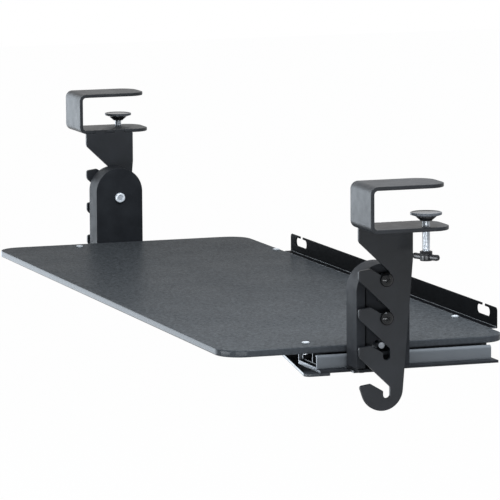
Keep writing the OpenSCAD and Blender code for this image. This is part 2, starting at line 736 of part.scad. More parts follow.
// Pivot bolt, its domed head on the carrier's inner face
module pivot_bolt() {
  color([0.75, 0.76, 0.78]) {
    xcyl(carrier_x - pivot_side_gap - eps, pin_plate_out + nut_h, hang_y, pivot_z, pivot_r);
    translate([carrier_x - pivot_side_gap, hang_y, pivot_z]) rotate([0, -90, 0]) dome_head(bolt_head_r, bolt_head_h);
  }
}

// Spacer between the carrier and the pin plate
module pivot_spacer() {
  color([0.7, 0.71, 0.73]) difference() {
    xcyl(carrier_x + carrier_sheet + pivot_side_gap, pin_plate_in, hang_y, pivot_z, spacer_r);
    xcyl(carrier_x, pin_plate_in + 1, hang_y, pivot_z, pivot_r + hole_gap);
  }
}

// Nut on the outer end of the pivot bolt
module pivot_nut() {
  color([0.7, 0.71, 0.73]) difference() {
    translate([pin_plate_out, hang_y, pivot_z]) rotate([0, 90, 0]) cylinder(h = nut_h, r = nut_r, $fn = 6);
    xcyl(pin_plate_out - 1, pin_plate_out + nut_h + 1, hang_y, pivot_z, pivot_r + hole_gap);
  }
}

// Tilt stop pin, a stud welded to the carrier's outer face that runs in the pin plate's window
module stop_pin() {
  foot_x = carrier_x + carrier_sheet;
  color([0.75, 0.76, 0.78]) {
    xcyl(foot_x, pin_plate_out - stop_end_inset, hang_y, stop_z, stop_r);
    xcyl(foot_x, foot_x + stop_collar_h, hang_y, stop_z, stop_collar_r);
  }
}

// Hook plate with its seats, its teeth and the two tabs welded to the strap's lower arm
module hook_plate() {
  last_seat = seat_top - (seat_count - 1) * seat_pitch;
  end_y = hang_y - hook_end_ahead;
  end_z = last_seat + hook_end_up;
  slope = (mouth_rise - notch_rise) / (hook_front + seat_half);
  leave_front = [end_y - hook_end_r * cos(hook_front_angle), end_z - hook_end_r * sin(hook_front_angle)];
  leave_back = [end_y + hook_end_r * cos(hook_back_angle), end_z - hook_end_r * sin(hook_back_angle)];
  // Each front corner as its place, a point on each of its two edges, and its radius
  tips = [for (i = [0 : seat_count - 1])
    let (z = seat_top - i * seat_pitch, tip = [teeth_y, z + tooth_rise - tooth_fall])
      [tip, [hang_y - seat_half - tooth_run, z + tooth_rise], i < seat_count - 1 ? tip - [0, 1] : leave_front,
       tooth_corner_r]];
  feet = [for (i = [0 : seat_count - 1])
    let (foot = [teeth_y, seat_top - i * seat_pitch + mouth_rise])
      [foot, foot + [0, 1], foot + [1, -slope], tooth_foot_r]];
  color([0.12, 0.125, 0.13]) {
    difference() {
      union() {
        yz_plate(hook_x, hook_outer_x, [
          tips[seat_count - 1][0], leave_front, [end_y, end_z], leave_back,
          [hang_y + hook_back, strap_above - hook_neck], [hang_y + hook_back, strap_above], [teeth_y, strap_above]
        ]);
        xcyl(hook_x, hook_outer_x, end_y, end_z, hook_end_r);
        for (y = [hang_y - tab_front, hang_y + tab_back])
          box([hook_x, y - tab_length / 2, strap_above - 1], [hook_outer_x, y + tab_length / 2, arm_top + tab_proud]);
      }
      for (i = [0 : seat_count - 1]) {
        z = seat_top - i * seat_pitch;
        yz_plate(hook_x - 1, hook_outer_x + 1, [
          [teeth_y - 4, z + mouth_rise + 4 * slope], [hang_y + seat_half, z + notch_rise], [hang_y + seat_half, z],
          [hang_y - seat_half, z], [hang_y - seat_half, z + lip_rise], [hang_y - seat_half - tooth_run, z + tooth_rise],
          [teeth_y, z + tooth_rise - tooth_fall], [teeth_y - 4, z + tooth_rise - tooth_fall]
        ]);
        xcyl(hook_x - 1, hook_outer_x + 1, hang_y, z, seat_half);
      }
      for (c = concat(tips, feet)) corner_off(hook_x, hook_outer_x, c[0], c[1], c[2], c[3]);
    }
    for (c = concat(tips, feet)) {
      middle = corner_middle(c[0], c[1], c[2], c[3]);
      xcyl(hook_x, hook_outer_x, middle[0], middle[1], c[3] + join);
    }
  }
}

// One arm of a strap, with round corners at its open end
module strap_arm(z, length) {
  r = arm_corner_r;
  box([hook_x, web_y + bend_r, z], [strap_outer_x, web_y + length - r, z + strap_thick]);
  box([hook_x + r, web_y + bend_r, z], [strap_outer_x - r, web_y + length, z + strap_thick]);
  for (x = [hook_x + r, strap_outer_x - r]) zcyl(x, web_y + length - r, z, z + strap_thick, r);
}

// A quarter bend along X; up is 1 for the upper bend and -1 for the lower
module strap_bend(z, up) {
  intersection() {
    difference() {
      xcyl(hook_x, strap_outer_x, web_y + bend_r, z, bend_r);
      xcyl(hook_x - 1, strap_outer_x + 1, web_y + bend_r, z, bend_r - strap_thick);
    }
    box([hook_x - 1, web_y - 1, up > 0 ? z : z - bend_r - 1],
        [strap_outer_x + 1, web_y + bend_r, up > 0 ? z + bend_r + 1 : z]);
  }
}

// Clamp strap, bent to a C that opens towards the desk
module strap() {
  color([0.2, 0.21, 0.22]) difference() {
    union() {
      box([hook_x, web_y, strap_above + bend_r], [strap_outer_x, web_y + strap_thick, strap_top - bend_r]);
      strap_bend(strap_top - bend_r, 1);
      strap_bend(strap_above + bend_r, -1);
      strap_arm(strap_top - strap_thick, upper_arm);
      strap_arm(strap_above, lower_arm);
    }
    zcyl(rod_x, rod_y, strap_above - 1, arm_top + 1, rod_r + rod_gap);
    for (y = [hang_y - tab_front, hang_y + tab_back])
      box([hook_x - 1, y - tab_length / 2, strap_above - 1], [hook_outer_x, y + tab_length / 2, arm_top + 1]);
  }
}

// Threaded rod of a clamp, drawn plain
module clamp_rod() {
  color([0.75, 0.76, 0.78]) zcyl(rod_x, rod_y, knob_top - knob_hub_h, bore_top - rod_end_gap, rod_r);
}

// Swivel pad that presses up on the desk
module clamp_pad() {
  color([0.07, 0.07, 0.075]) difference() {
    translate([rod_x, rod_y, socket_bottom]) {
      cylinder(h = socket_h + eps, r1 = socket_bottom_r, r2 = socket_top_r);
      translate([0, 0, socket_h]) cylinder(h = pad_dish + eps, r1 = socket_top_r, r2 = pad_r);
      translate([0, 0, socket_h + pad_dish]) cylinder(h = pad_thick, r = pad_r);
    }
    zcyl(rod_x, rod_y, socket_bottom - 1, bore_top, rod_r + rod_gap);
  }
}

// Winged knob at the rod's lower end
module wing_knob() {
  color([0.04, 0.04, 0.045]) translate([rod_x, rod_y, knob_top - knob_hub_h]) difference() {
    union() {
      cylinder(h = knob_hub_h, r = knob_hub_r);
      rotate([0, 0, wing_angle]) for (side = [-1, 1]) mirror([side < 0 ? 1 : 0, 0, 0]) {
        box([0, -wing_thick / 2, wing_up], [wing_half - wing_h / 2, wing_thick / 2, wing_up + wing_h]);
        translate([wing_half - wing_h / 2, wing_thick / 2, wing_up + wing_h / 2]) rotate([90, 0, 0])
          cylinder(h = wing_thick, r = wing_h / 2);
      }
    }
    translate([0, 0, -1]) cylinder(h = knob_hub_h + 2, r = rod_r + knob_gap);
  }
}

placed() tray_board();
placed() fence();
placed() left() tray_screw(slide_x, slide_front - front_screw_ahead);  // front_screw_left
placed() tray_screw(slide_x, slide_front - front_screw_ahead);  // front_screw_right
placed() left() tray_screw(back_screw_x, tray_depth - back_screw_inset);  // back_screw_left
placed() tray_screw(back_screw_x, tray_depth - back_screw_inset);  // back_screw_right
placed() left() slide_screw();  // slide_screw_left
placed() slide_screw();  // slide_screw_right
placed() left() slide_inner();  // slide_inner_left
placed() slide_inner();  // slide_inner_right
placed() left() slide_middle();  // slide_middle_left
placed() slide_middle();  // slide_middle_right
placed() left() slide_outer();  // slide_outer_left
placed() slide_outer();  // slide_outer_right
placed() left() slide_bed();  // slide_bed_left
placed() slide_bed();  // slide_bed_right
placed() left() bed_rivets();  // bed_rivets_left
placed() bed_rivets();  // bed_rivets_right
placed() cross_plate();
placed() left() carrier();  // carrier_left
placed() carrier();  // carrier_right
placed() left() carrier_rivets();  // carrier_rivets_left
placed() carrier_rivets();  // carrier_rivets_right
placed() left() pin_plate();  // pin_plate_left
placed() pin_plate();  // pin_plate_right
placed() left() hook_pin(seat_top);  // upper_pin_left
placed() hook_pin(seat_top);  // upper_pin_right
placed() left() hook_pin(seat_top - seat_pitch);  // lower_pin_left
placed() hook_pin(seat_top - seat_pitch);  // lower_pin_right
placed() left() pivot_bolt();  // pivot_bolt_left
placed() pivot_bolt();  // pivot_bolt_right
placed() left() pivot_spacer();  // pivot_spacer_left
placed() pivot_spacer();  // pivot_spacer_right
placed() left() pivot_nut();  // pivot_nut_left
placed() pivot_nut();  // pivot_nut_right
placed() left() stop_pin();  // stop_pin_left
placed() stop_pin();  // stop_pin_right
placed() left() hook_plate();  // hook_plate_left
placed() hook_plate();  // hook_plate_right
placed() left() strap();  // strap_left
placed() strap();  // strap_right
placed() left() clamp_rod();  // clamp_rod_left
placed() clamp_rod();  // clamp_rod_right
placed() left() clamp_pad();  // clamp_pad_left
placed() clamp_pad();  // clamp_pad_right
placed() left() wing_knob();  // wing_knob_left
placed() wing_knob();  // wing_knob_right
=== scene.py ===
import json
import math
import bmesh
import bpy
from mathutils import Matrix, Vector


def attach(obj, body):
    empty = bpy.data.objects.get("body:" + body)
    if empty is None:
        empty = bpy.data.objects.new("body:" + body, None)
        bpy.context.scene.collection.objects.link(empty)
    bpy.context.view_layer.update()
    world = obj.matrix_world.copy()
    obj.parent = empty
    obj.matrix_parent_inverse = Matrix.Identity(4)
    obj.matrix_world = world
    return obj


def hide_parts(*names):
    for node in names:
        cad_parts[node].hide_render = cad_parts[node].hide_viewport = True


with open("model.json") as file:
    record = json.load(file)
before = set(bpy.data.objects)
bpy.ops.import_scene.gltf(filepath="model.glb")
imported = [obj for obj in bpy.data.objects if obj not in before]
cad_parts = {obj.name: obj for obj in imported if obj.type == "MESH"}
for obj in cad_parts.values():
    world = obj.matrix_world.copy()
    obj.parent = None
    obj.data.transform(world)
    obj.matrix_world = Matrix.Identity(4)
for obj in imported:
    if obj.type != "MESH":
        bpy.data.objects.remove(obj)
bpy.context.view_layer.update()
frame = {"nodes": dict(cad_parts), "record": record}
MM = 0.001
SIDES = ("left", "right")
LINKS = bpy.context.scene.collection


# Camera at the photograph's viewing angle, from the fit to the photo
CAMERA_AT = (3.48394, -1.16116, 0.40306)
AZIMUTH, ELEVATION, ROLL = (math.radians(a) for a in (71.016, 7.705, -0.376))
FOCAL_PX, IMAGE_PX, SENSOR_MM = 4477.84, 500.0, 36.0

forward = Vector((-math.sin(AZIMUTH) * math.cos(ELEVATION), math.cos(AZIMUTH) * math.cos(ELEVATION),
                  -math.sin(ELEVATION)))
flat_right = Vector((math.cos(AZIMUTH), math.sin(AZIMUTH), 0.0))
flat_up = flat_right.cross(forward)
cam_right = math.cos(ROLL) * flat_right + math.sin(ROLL) * flat_up
cam_up = -math.sin(ROLL) * flat_right + math.cos(ROLL) * flat_up
camera = bpy.data.objects.new("camera", bpy.data.cameras.new("camera"))
LINKS.objects.link(camera)
camera.matrix_world = Matrix([(cam_right[i], cam_up[i], -forward[i], CAMERA_AT[i]) for i in range(3)]
                             + [(0.0, 0.0, 0.0, 1.0)])
camera.data.sensor_width = SENSOR_MM
camera.data.lens = FOCAL_PX / IMAGE_PX * SENSOR_MM
camera.data.clip_start = 0.1
camera.data.clip_end = 60.0
bpy.context.scene.camera = camera
bpy.context.scene.view_settings.view_transform = "Standard"


# Node materials. Noise scales are in features per metre, and colours are linear.
NOISE_LOW, NOISE_HIGH = 0.3, 0.7


def shader(name, base, rough, metal=0.0, ior=1.45):
    """A Principled material; returns it with its node tree, shader and an object-space coordinate socket."""
    m = bpy.data.materials.new(name)
    m.use_nodes = True
    t = m.node_tree
    p = t.nodes["Principled BSDF"]
    p.inputs["Base Color"].default_value = (*base, 1.0)
    p.inputs["Roughness"].default_value = rough
    p.inputs["Metallic"].default_value = metal
    p.inputs["IOR"].default_value = ior
    return m, t, p, t.nodes.new("ShaderNodeTexCoord").outputs["Object"]


def noise(t, at, scale, detail, rough=0.55, stretch=None):
    """A noise texture in object space, optionally stretched along the axes."""
    n = t.nodes.new("ShaderNodeTexNoise")
    n.inputs["Scale"].default_value = scale
    n.inputs["Detail"].default_value = detail
    n.inputs["Roughness"].default_value = rough
    if stretch:
        mapping = t.nodes.new("ShaderNodeMapping")
        mapping.inputs["Scale"].default_value = stretch
        t.links.new(at, mapping.inputs["Vector"])
        at = mapping.outputs["Vector"]
    t.links.new(at, n.inputs["Vector"])
    return n.outputs["Fac"]


def mapped(t, value, low, high):
    """Spreads a noise's usual range over low to high."""
    r = t.nodes.new("ShaderNodeMapRange")
    for k, v in (("From Min", NOISE_LOW), ("From Max", NOISE_HIGH), ("To Min", low), ("To Max", high)):
        r.inputs[k].default_value = v
    t.links.new(value, r.inputs["Value"])
    return r.outputs["Result"]


def tinted(t, value, dark, light):
    """A colour ramp from dark to light over a noise's usual range."""
    r = t.nodes.new("ShaderNodeValToRGB")
    for stop, position, colour in zip(r.color_ramp.elements, (NOISE_LOW, NOISE_HIGH), (dark, light)):
        stop.position = position
        stop.color = (*colour, 1.0)
    t.links.new(value, r.inputs["Fac"])
    return r.outputs["Color"]


def bumped(t, p, height, strength, distance):
    b = t.nodes.new("ShaderNodeBump")
    b.inputs["Strength"].default_value = strength
    b.inputs["Distance"].default_value = distance
    t.links.new(height, b.inputs["Height"])
    t.links.new(b.outputs["Normal"], p.inputs["Normal"])


def powder_coat(name, dark, light, rough_low, rough_high, ior):
    """Powder-coated steel: a fine orange peel, with slow changes of shade and gloss."""
    m, t, p, at = shader(name, dark, rough_low, ior=ior)
    stains, gloss = noise(t, at, scale=55.0, detail=4.0), noise(t, at, scale=130.0, detail=3.0)
    t.links.new(tinted(t, stains, dark, light), p.inputs["Base Color"])
    t.links.new(mapped(t, gloss, rough_low, rough_high), p.inputs["Roughness"])
    bumped(t, p, noise(t, at, scale=1400.0, detail=2.0, rough=0.6), strength=0.25, distance=0.12 * MM)
    return m


def laminate(name, base, dark, light, rough_low, rough_high, ior):
    """The board's face: near-black, finely pebbled, with a faint light speckle."""
    m, t, p, at = shader(name, base, (rough_low + rough_high) / 2, ior=ior)
    cells = t.nodes.new("ShaderNodeTexVoronoi")
    cells.inputs["Scale"].default_value = 800.0
    t.links.new(at, cells.inputs["Vector"])
    pebble = t.nodes.new("ShaderNodeMath")
    pebble.operation = "MULTIPLY_ADD"
    pebble.inputs[1].default_value = 0.6
    t.links.new(cells.outputs["Distance"], pebble.inputs[0])
    t.links.new(noise(t, at, scale=1500.0, detail=2.0, rough=0.6), pebble.inputs[2])
    speckle, gloss = noise(t, at, scale=420.0, detail=6.0, rough=0.75), noise(t, at, scale=18.0, detail=3.0)
    t.links.new(tinted(t, speckle, dark, light), p.inputs["Base Color"])
    t.links.new(mapped(t, gloss, rough_low, rough_high), p.inputs["Roughness"])
    bumped(t, p, pebble.outputs[0], strength=0.3, distance=0.2 * MM)
    return m


def plated(name, dark, light, rough_low, rough_high, along=(1.0, 1.0, 1.0), metal=1.0):
    """Plated or cut steel with fine drawn marks and faint stains."""
    m, t, p, at = shader(name, light, rough_low, metal)
    stains = noise(t, at, scale=240.0, detail=4.0)
    lines = noise(t, at, scale=900.0, detail=2.0, rough=0.5, stretch=along)
    t.links.new(tinted(t, stains, dark, light), p.inputs["Base Color"])
    t.links.new(mapped(t, lines, rough_low, rough_high), p.inputs["Roughness"])
    bumped(t, p, lines, strength=0.12, distance=0.05 * MM)
    return m


def moulded(name, dark, light, rough_low, rough_high, ior=1.45):
    """A smooth dark skin with a very fine grain, for moulded plastic, edge band and black oxide."""
    m, t, p, at = shader(name, dark, rough_low, ior=ior)
    stains, gloss = noise(t, at, scale=420.0, detail=3.0), noise(t, at, scale=700.0, detail=2.0)
    t.links.new(tinted(t, stains, dark, light), p.inputs["Base Color"])
    t.links.new(mapped(t, gloss, rough_low, rough_high), p.inputs["Roughness"])
    bumped(t, p, noise(t, at, scale=2400.0, detail=2.0, rough=0.6), strength=0.3, distance=0.08 * MM)
    return m


BOARD = laminate("board_laminate", (0.05, 0.053, 0.057), (0.01, 0.0108, 0.0117), (0.082, 0.0863, 0.0905),
                 0.33, 0.39, ior=1.035)
EDGE = moulded("board_edge_band", (0.032, 0.0348, 0.0385), (0.0415, 0.045, 0.0495), 0.08, 0.11, ior=1.145)
CLAMP = powder_coat("clamp_coat", (0.0056, 0.0066, 0.0084), (0.0098, 0.0113, 0.0139), 0.42, 0.49, ior=1.33)
FRAME = powder_coat("frame_coat", (0.0105, 0.0114, 0.0133), (0.018, 0.0194, 0.022), 0.5, 0.58, ior=1.17)
FENCE = powder_coat("fence_coat", (0.0022, 0.0025, 0.003), (0.0036, 0.004, 0.0047), 0.42, 0.5, ior=1.06)
# The fence's lower bend is painted lighter than the wall: a painted highlight along the fillet at the wall's
# foot.
FENCE_BEND_PAINTED_HIGHLIGHT = powder_coat("fence_bend_painted_highlight", (0.05, 0.0535, 0.059), (0.075, 0.08, 0.087), 0.4, 0.48, ior=1.35)
RAIL = powder_coat("rail_coat", (0.095, 0.1015, 0.1095), (0.1, 0.1065, 0.1145), 0.4, 0.48, ior=1.25)
# The cross plate's side faces are painted lighter: a painted sheen where the low edges catch the white
# surroundings.
PLATE_EDGE_PAINTED_SHEEN = powder_coat("plate_edge_painted_sheen", (0.02, 0.0215, 0.024), (0.055, 0.0585, 0.064), 0.2, 0.28, ior=1.22)
CHANNEL = plated("channel_plate", (0.02, 0.021, 0.023), (0.035, 0.037, 0.04), 0.35, 0.45, (8.0, 0.4, 8.0))
CUT = plated("cut_steel", (0.18, 0.19, 0.205), (0.28, 0.295, 0.315), 0.4, 0.55)
ZINC = plated("zinc_plate", (0.42, 0.44, 0.465), (0.53, 0.555, 0.585), 0.26, 0.34, metal=0.7)
STUD = plated("stud_plate", (0.3, 0.315, 0.335), (0.42, 0.435, 0.46), 0.42, 0.55, metal=0.25)
BOLT = plated("bolt_plate", (0.62, 0.65, 0.69), (0.78, 0.81, 0.85), 0.36, 0.48, metal=0.55)
SCREW = plated("screw_plate", (0.56, 0.585, 0.61), (0.68, 0.705, 0.73), 0.3, 0.4, metal=0.4)
PIN = moulded("black_oxide", (0.004, 0.0043, 0.005), (0.008, 0.0085, 0.0095), 0.08, 0.12, ior=1.33)
# Painted shadow: the washer under each pin head is a near-black matte ring that stands in for the shadow gap
# round the head.
WASHER_PAINTED_SHADOW = moulded("washer_painted_shadow", (0.001, 0.001, 0.0012), (0.002, 0.002, 0.0024), 0.6, 0.7,
                       ior=1.15)
KNOB = moulded("knob_plastic", (0.006, 0.006, 0.007), (0.012, 0.012, 0.014), 0.1, 0.15, ior=1.27)
PAD = moulded("pad_shell", (0.06, 0.063, 0.069), (0.075, 0.0785, 0.085), 0.14, 0.18, ior=1.14)
SOCKET = moulded("pad_socket", (0.004, 0.004, 0.005), (0.008, 0.008, 0.009), 0.3, 0.4)

BY_SLOT = {"board": BOARD, "clamp_steel": CLAMP, "frame_steel": FRAME, "slide_outer_steel": RAIL,
           "slide_bare_steel": CHANNEL, "zinc": ZINC, "black_hardware": PIN, "black_plastic": KNOB}
SLOT_OF = {s["node"]: s["material_slot"] for s in frame["record"]["subparts"]}
BODY_OF = {n: b for b, nodes in frame["record"]["behaviour"]["bodies"].items() for n in nodes}


# Making pieces
REBUILT = set()
SHARP_ANGLE = 32.0
EASED_ANGLE = 38.0
FLAT_ANGLE = 1.0
MERGE_WITHIN = 0.002 * MM


def dress(obj, mat):
    obj.data.materials.clear()
    obj.data.materials.append(mat)


def shade(mesh):
    """Smooth shading that keeps real corners sharp."""
    for f in mesh.polygons:
        f.use_smooth = True
    bm = bmesh.new()
    bm.from_mesh(mesh)
    for e in bm.edges:
        e.smooth = len(e.link_faces) == 2 and e.calc_face_angle(0.0) < math.radians(SHARP_ANGLE)
    bm.to_mesh(mesh)
    bm.free()


def stands_for(obj, node):
    """Lets a finished piece ride on its body in place of a CAD node."""
    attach(obj, BODY_OF[node])
    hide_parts(node)
    REBUILT.add(node)


def piece(name, bm, mat, node):
    """Turns a bmesh into a finished piece that stands for a CAD node."""
    mesh = bpy.data.meshes.new(name)
    bmesh.ops.recalc_face_normals(bm, faces=bm.faces[:])
    bm.to_mesh(mesh)
    bm.free()
    obj = bpy.data.objects.new(name, mesh)
    LINKS.objects.link(obj)
    dress(obj, mat)
    shade(mesh)
    stands_for(obj, node)
    return obj


def settled(obj):
    """Turns an object's modifiers into its mesh."""
    done = bpy.data.meshes.new_from_object(obj.evaluated_get(bpy.context.evaluated_depsgraph_get()))
    obj.modifiers.clear()
    obj.data = done
    done.name = obj.name
    return done


def eased(node, mat, width, segments):
    """A copy of a CAD node whose sharp edges are rounded over, as on pressed and coated sheet."""
    bm = bmesh.new()
    bm.from_mesh(frame["nodes"][node].data)
    bmesh.ops.remove_doubles(bm, verts=bm.verts, dist=MERGE_WITHIN)
    bmesh.ops.dissolve_limit(bm, angle_limit=math.radians(FLAT_ANGLE), verts=bm.verts, edges=bm.edges)
    mesh = bpy.data.meshes.new(node + "_eased")
    bm.to_mesh(mesh)
    bm.free()
    obj = bpy.data.objects.new(mesh.name, mesh)
    LINKS.objects.link(obj)
    bevel = obj.modifiers.new("ease", "BEVEL")
    bevel.width = width
    bevel.segments = segments
    bevel.limit_method = "ANGLE"
    bevel.angle_limit = math.radians(EASED_ANGLE)
    bevel.use_clamp_overlap = False
    bevel.miter_outer = "MITER_ARC"
    shade(settled(obj))
    flats = obj.modifiers.new("flats", "WEIGHTED_NORMAL")
    flats.keep_sharp = True
    settled(obj)
    dress(obj, mat)
    stands_for(obj, node)
    return obj


def faced(obj, mat, axis, low, high, lower_half=False):
    """Gives a second material to the faces whose normal's part along an axis is between low and high."""
    obj.data.materials.append(mat)
    heights = [v.co.z for v in obj.data.vertices]
    limit = (min(heights) + max(heights)) / 2 if lower_half else max(heights)
    for f in obj.data.polygons:
        f.material_index = 1 if low <= abs(f.normal[axis]) <= high and f.center.z <= limit else 0


def lathe(bm, profile, centre, steps, radius_at=None):
    """Revolves (radius, height) points about a vertical axis; radius_at(radius, height, angle) can shape it."""
    rings = []
    for r, z in profile:
        if r == 0.0:
            rings.append([bm.verts.new((centre[0], centre[1], centre[2] + z))])
            continue
        ring = []
        for i in range(steps):
            a = 2 * math.pi * i / steps
            q = radius_at(r, z, a) if radius_at else r
            ring.append(bm.verts.new((centre[0] + q * math.cos(a), centre[1] + q * math.sin(a), centre[2] + z)))
        rings.append(ring)
    for low, high in zip(rings, rings[1:]):
        for i in range(steps):
            j = (i + 1) % steps
            quad = [low[i % len(low)], low[j % len(low)], high[j % len(high)], high[i % len(high)]]
            face = list(dict.fromkeys(quad))
            if len(face) > 2:
                bm.faces.new(face)


def arc(cx, cz, r, start, end, count=6):
    """Profile points on an arc, angles in degrees."""
    return [(cx + r * math.cos(math.radians(start + (end - start) * i / count)),
             cz + r * math.sin(math.radians(start + (end - start) * i / count))) for i in range(count + 1)]


def dome(r, base, rise, rings):
    """Profile of a dome of the given rise, from its rim to its middle."""
    ball = (r * r + rise * rise) / (2 * rise)
    out = []
    for i in range(rings + 1):
        q = r * (1.0 - i / rings)
        out.append((q, base + rise - ball + math.sqrt(ball * ball - q * q)))
    return out


def cross_recess(reach, half, depth, above):
    """How deep a cross recess is at a point of a head, for points higher than above; deepest in its middle."""
    def at(co):
        if co.z <= above:
            return 0.0
        u, v = abs(co.x + co.y) / math.sqrt(2), abs(co.x - co.y) / math.sqrt(2)
        along, across = max(u, v), min(u, v)
        wall = min(1.0, max(0.0, (half - across) / (0.3 * half)))
        return depth * wall * max(0.0, 1.0 - along / reach)
    return at


def box_of(node):
    """Lowest and highest corner of a CAD node, and its middle."""
    obj = frame["nodes"][node]
    pts = [obj.matrix_world @ v.co for v in obj.data.vertices]
    low = Vector([min(p[i] for p in pts) for i in range(3)])
    high = Vector([max(p[i] for p in pts) for i in range(3)])
    return low, high, (low + high) / 2


# Clamp screws: a rolled M6 thread with chamfered ends
THREAD_PITCH = 1.0 * MM
THREAD_DEPTH = 0.5 * MM
THREAD_CHAMFER = 0.7 * MM
THREAD_ROWS = 8
THREAD_STEPS = 32


def threaded_rod(side):
    node = f"clamp_rod_{side}"
    low, high, mid = box_of(node)
    outer = (high.x - low.x) / 2
    length = high.z - low.z
    rows = round(length / THREAD_PITCH * THREAD_ROWS)

    def thread(r, z, a):
        turn = (z / THREAD_PITCH - a / (2 * math.pi)) % 1.0
        crest = min(1.0, max(0.0, 2.4 * (1.0 - abs(2 * turn - 1.0)) - 0.4))
        end = min(z, length - z)
        return min(outer - THREAD_DEPTH * (1.0 - crest), outer - THREAD_CHAMFER + end)

    bm = bmesh.new()
    profile = [(0.0, 0.0)] + [(outer, length * i / rows) for i in range(rows + 1)] + [(0.0, length)]
    lathe(bm, profile, (mid.x, mid.y, low.z), THREAD_STEPS, thread)
    piece(f"threaded_rod_{side}", bm, ZINC, node)


# Swivel pads: a disc with a rounded rim and a dished underside, over a black moulded socket
PAD_STEPS = 80


def swivel_pad(side):
    node = f"clamp_pad_{side}"
    low, high, mid = box_of(node)
    top_centre = (mid.x, mid.y, high.z)
    r = (high.x - low.x) / 2
    rim, lip, rim_height, dish, neck = (v * MM for v in (0.45, 0.35, 2.0, 1.2, 7.8))
    dip, dip_inset, rim_inset = (v * MM for v in (0.25, 1.6, 1.2))
    seat = -rim_height - dish + 0.1 * MM
    profile = [(0.0, -dip), (r - dip_inset, -dip), (r - rim_inset, 0.0)]
    profile += arc(r - rim, -rim, rim, 90, 0) + arc(r - lip, -rim_height + lip, lip, 0, -80)
    profile += [(neck + 0.6 * MM, seat + 0.05 * MM), (neck - 1.2 * MM, seat), (0.0, seat)]
    bm = bmesh.new()
    lathe(bm, profile, top_centre, PAD_STEPS)
    piece(f"pad_disc_{side}", bm, PAD, node)

    bottom = low.z - high.z
    foot, foot_round, shoulder, bore, bore_depth = (v * MM for v in (4.7, 0.4, 0.3, 3.1, 0.5))
    profile = [(0.0, seat), (neck - 0.4 * MM, seat)]
    profile += arc(neck - shoulder, seat - shoulder, shoulder, 90, -30)
    profile += [(foot + 0.5 * MM, bottom + 0.9 * MM)]
    profile += arc(foot - foot_round, bottom + foot_round, foot_round, 20, -90)
    profile += [(bore, bottom), (bore, bottom + bore_depth), (0.0, bottom + bore_depth)]
    bm = bmesh.new()
    lathe(bm, profile, top_centre, PAD_STEPS)
    piece(f"pad_socket_{side}", bm, SOCKET, node)


# Winged knobs: a fluted collar on a round hub with two tapered wings
FLUTES = 10
FLUTE_DEPTH = 0.5 * MM
KNOB_STEPS = 120
WING_ANGLE = 29.0
WING_REACH = 12.5 * MM
WING_LOW = 0.6 * MM
WING_HEIGHT = 4.8 * MM
WING_HALF_IN, WING_HALF_OUT = 1.7 * MM, 1.35 * MM
WING_EASE = 0.45 * MM


def wing(bm, centre, angle):
    """A tapered wing from the hub outwards, with a rounded tip and eased edges."""
    tip = WING_HEIGHT / 2
    top = WING_LOW + WING_HEIGHT
    outline = [(0.0, WING_LOW), (WING_REACH - tip, WING_LOW + 0.15 * MM)]
    outline += arc(WING_REACH - tip, WING_LOW + tip, tip - 0.05 * MM, -80, 70, 8)
    outline += [(WING_REACH * 0.55, top - 0.45 * MM), (WING_REACH * 0.4, top - 0.2 * MM), (0.0, top)]
    part = bmesh.new()
    sides = []
    for sign in (-1, 1):
        half = [WING_HALF_IN + (WING_HALF_OUT - WING_HALF_IN) * x / WING_REACH for x, _ in outline]
        sides.append([part.verts.new((x, sign * y, z)) for (x, z), y in zip(outline, half)])
    part.faces.new(sides[0])
    part.faces.new(sides[1][::-1])
    for i in range(len(outline)):
        j = (i + 1) % len(outline)
        part.faces.new([sides[0][i], sides[1][i], sides[1][j], sides[0][j]])
    bmesh.ops.recalc_face_normals(part, faces=part.faces[:])
    sharp = [e for e in part.edges if e.calc_face_angle(0.0) > math.radians(50)]
    bmesh.ops.bevel(part, geom=sharp, offset=WING_EASE, segments=3, profile=0.5, affect="EDGES",
                    clamp_overlap=True)
    part.transform(Matrix.Translation(centre) @ Matrix.Rotation(angle, 4, "Z"))
    mesh = bpy.data.meshes.new("wing")
    part.to_mesh(mesh)
    part.free()
    bm.from_mesh(mesh)
    bpy.data.meshes.remove(mesh)


def winged_knob(side):
    node = f"wing_knob_{side}"
    low, high, mid = box_of(node)
    foot = Vector((mid.x, mid.y, low.z))
    h = high.z - low.z
    hub, collar, groove, foot_round, foot_flat = (v * MM for v in (4.7, 3.2, 0.25, 0.5, 0.8))
    socket_rim, socket, socket_depth = (v * MM for v in (3.3, 3.1, 0.5))

    def flute(r, z, a):
        depth = FLUTE_DEPTH * (0.5 - 0.5 * math.cos(FLUTES * a)) ** 2
        return r - depth if z > h - collar + 0.3 * MM and r > 4.0 * MM else r

    profile = [(0.0, 0.0), (hub - foot_flat, 0.0)] + arc(hub - foot_round, foot_round, foot_round, -90, 0)
    profile += [(hub, h - collar), (hub - groove, h - collar + 0.15 * MM), (hub - groove, h - collar + 0.32 * MM)]
    profile += [(hub, h - collar + 0.45 * MM), (hub, h - 0.4 * MM)]
    profile += [(hub - 0.12 * MM, h - 0.12 * MM), (hub - 0.4 * MM, h)]
    profile += [(socket_rim, h), (socket, h - socket_depth), (0.0, h - socket_depth)]
    bm = bmesh.new()
    lathe(bm, profile, foot, KNOB_STEPS, flute)
    mirror = -1 if side == "left" else 1
    for turn in (0, 180):
        wing(bm, foot, math.radians(mirror * WING_ANGLE + turn))
    piece(f"knob_{side}", bm, KNOB, node)


# Turned parts that lie along X
TURNED_STEPS = 96


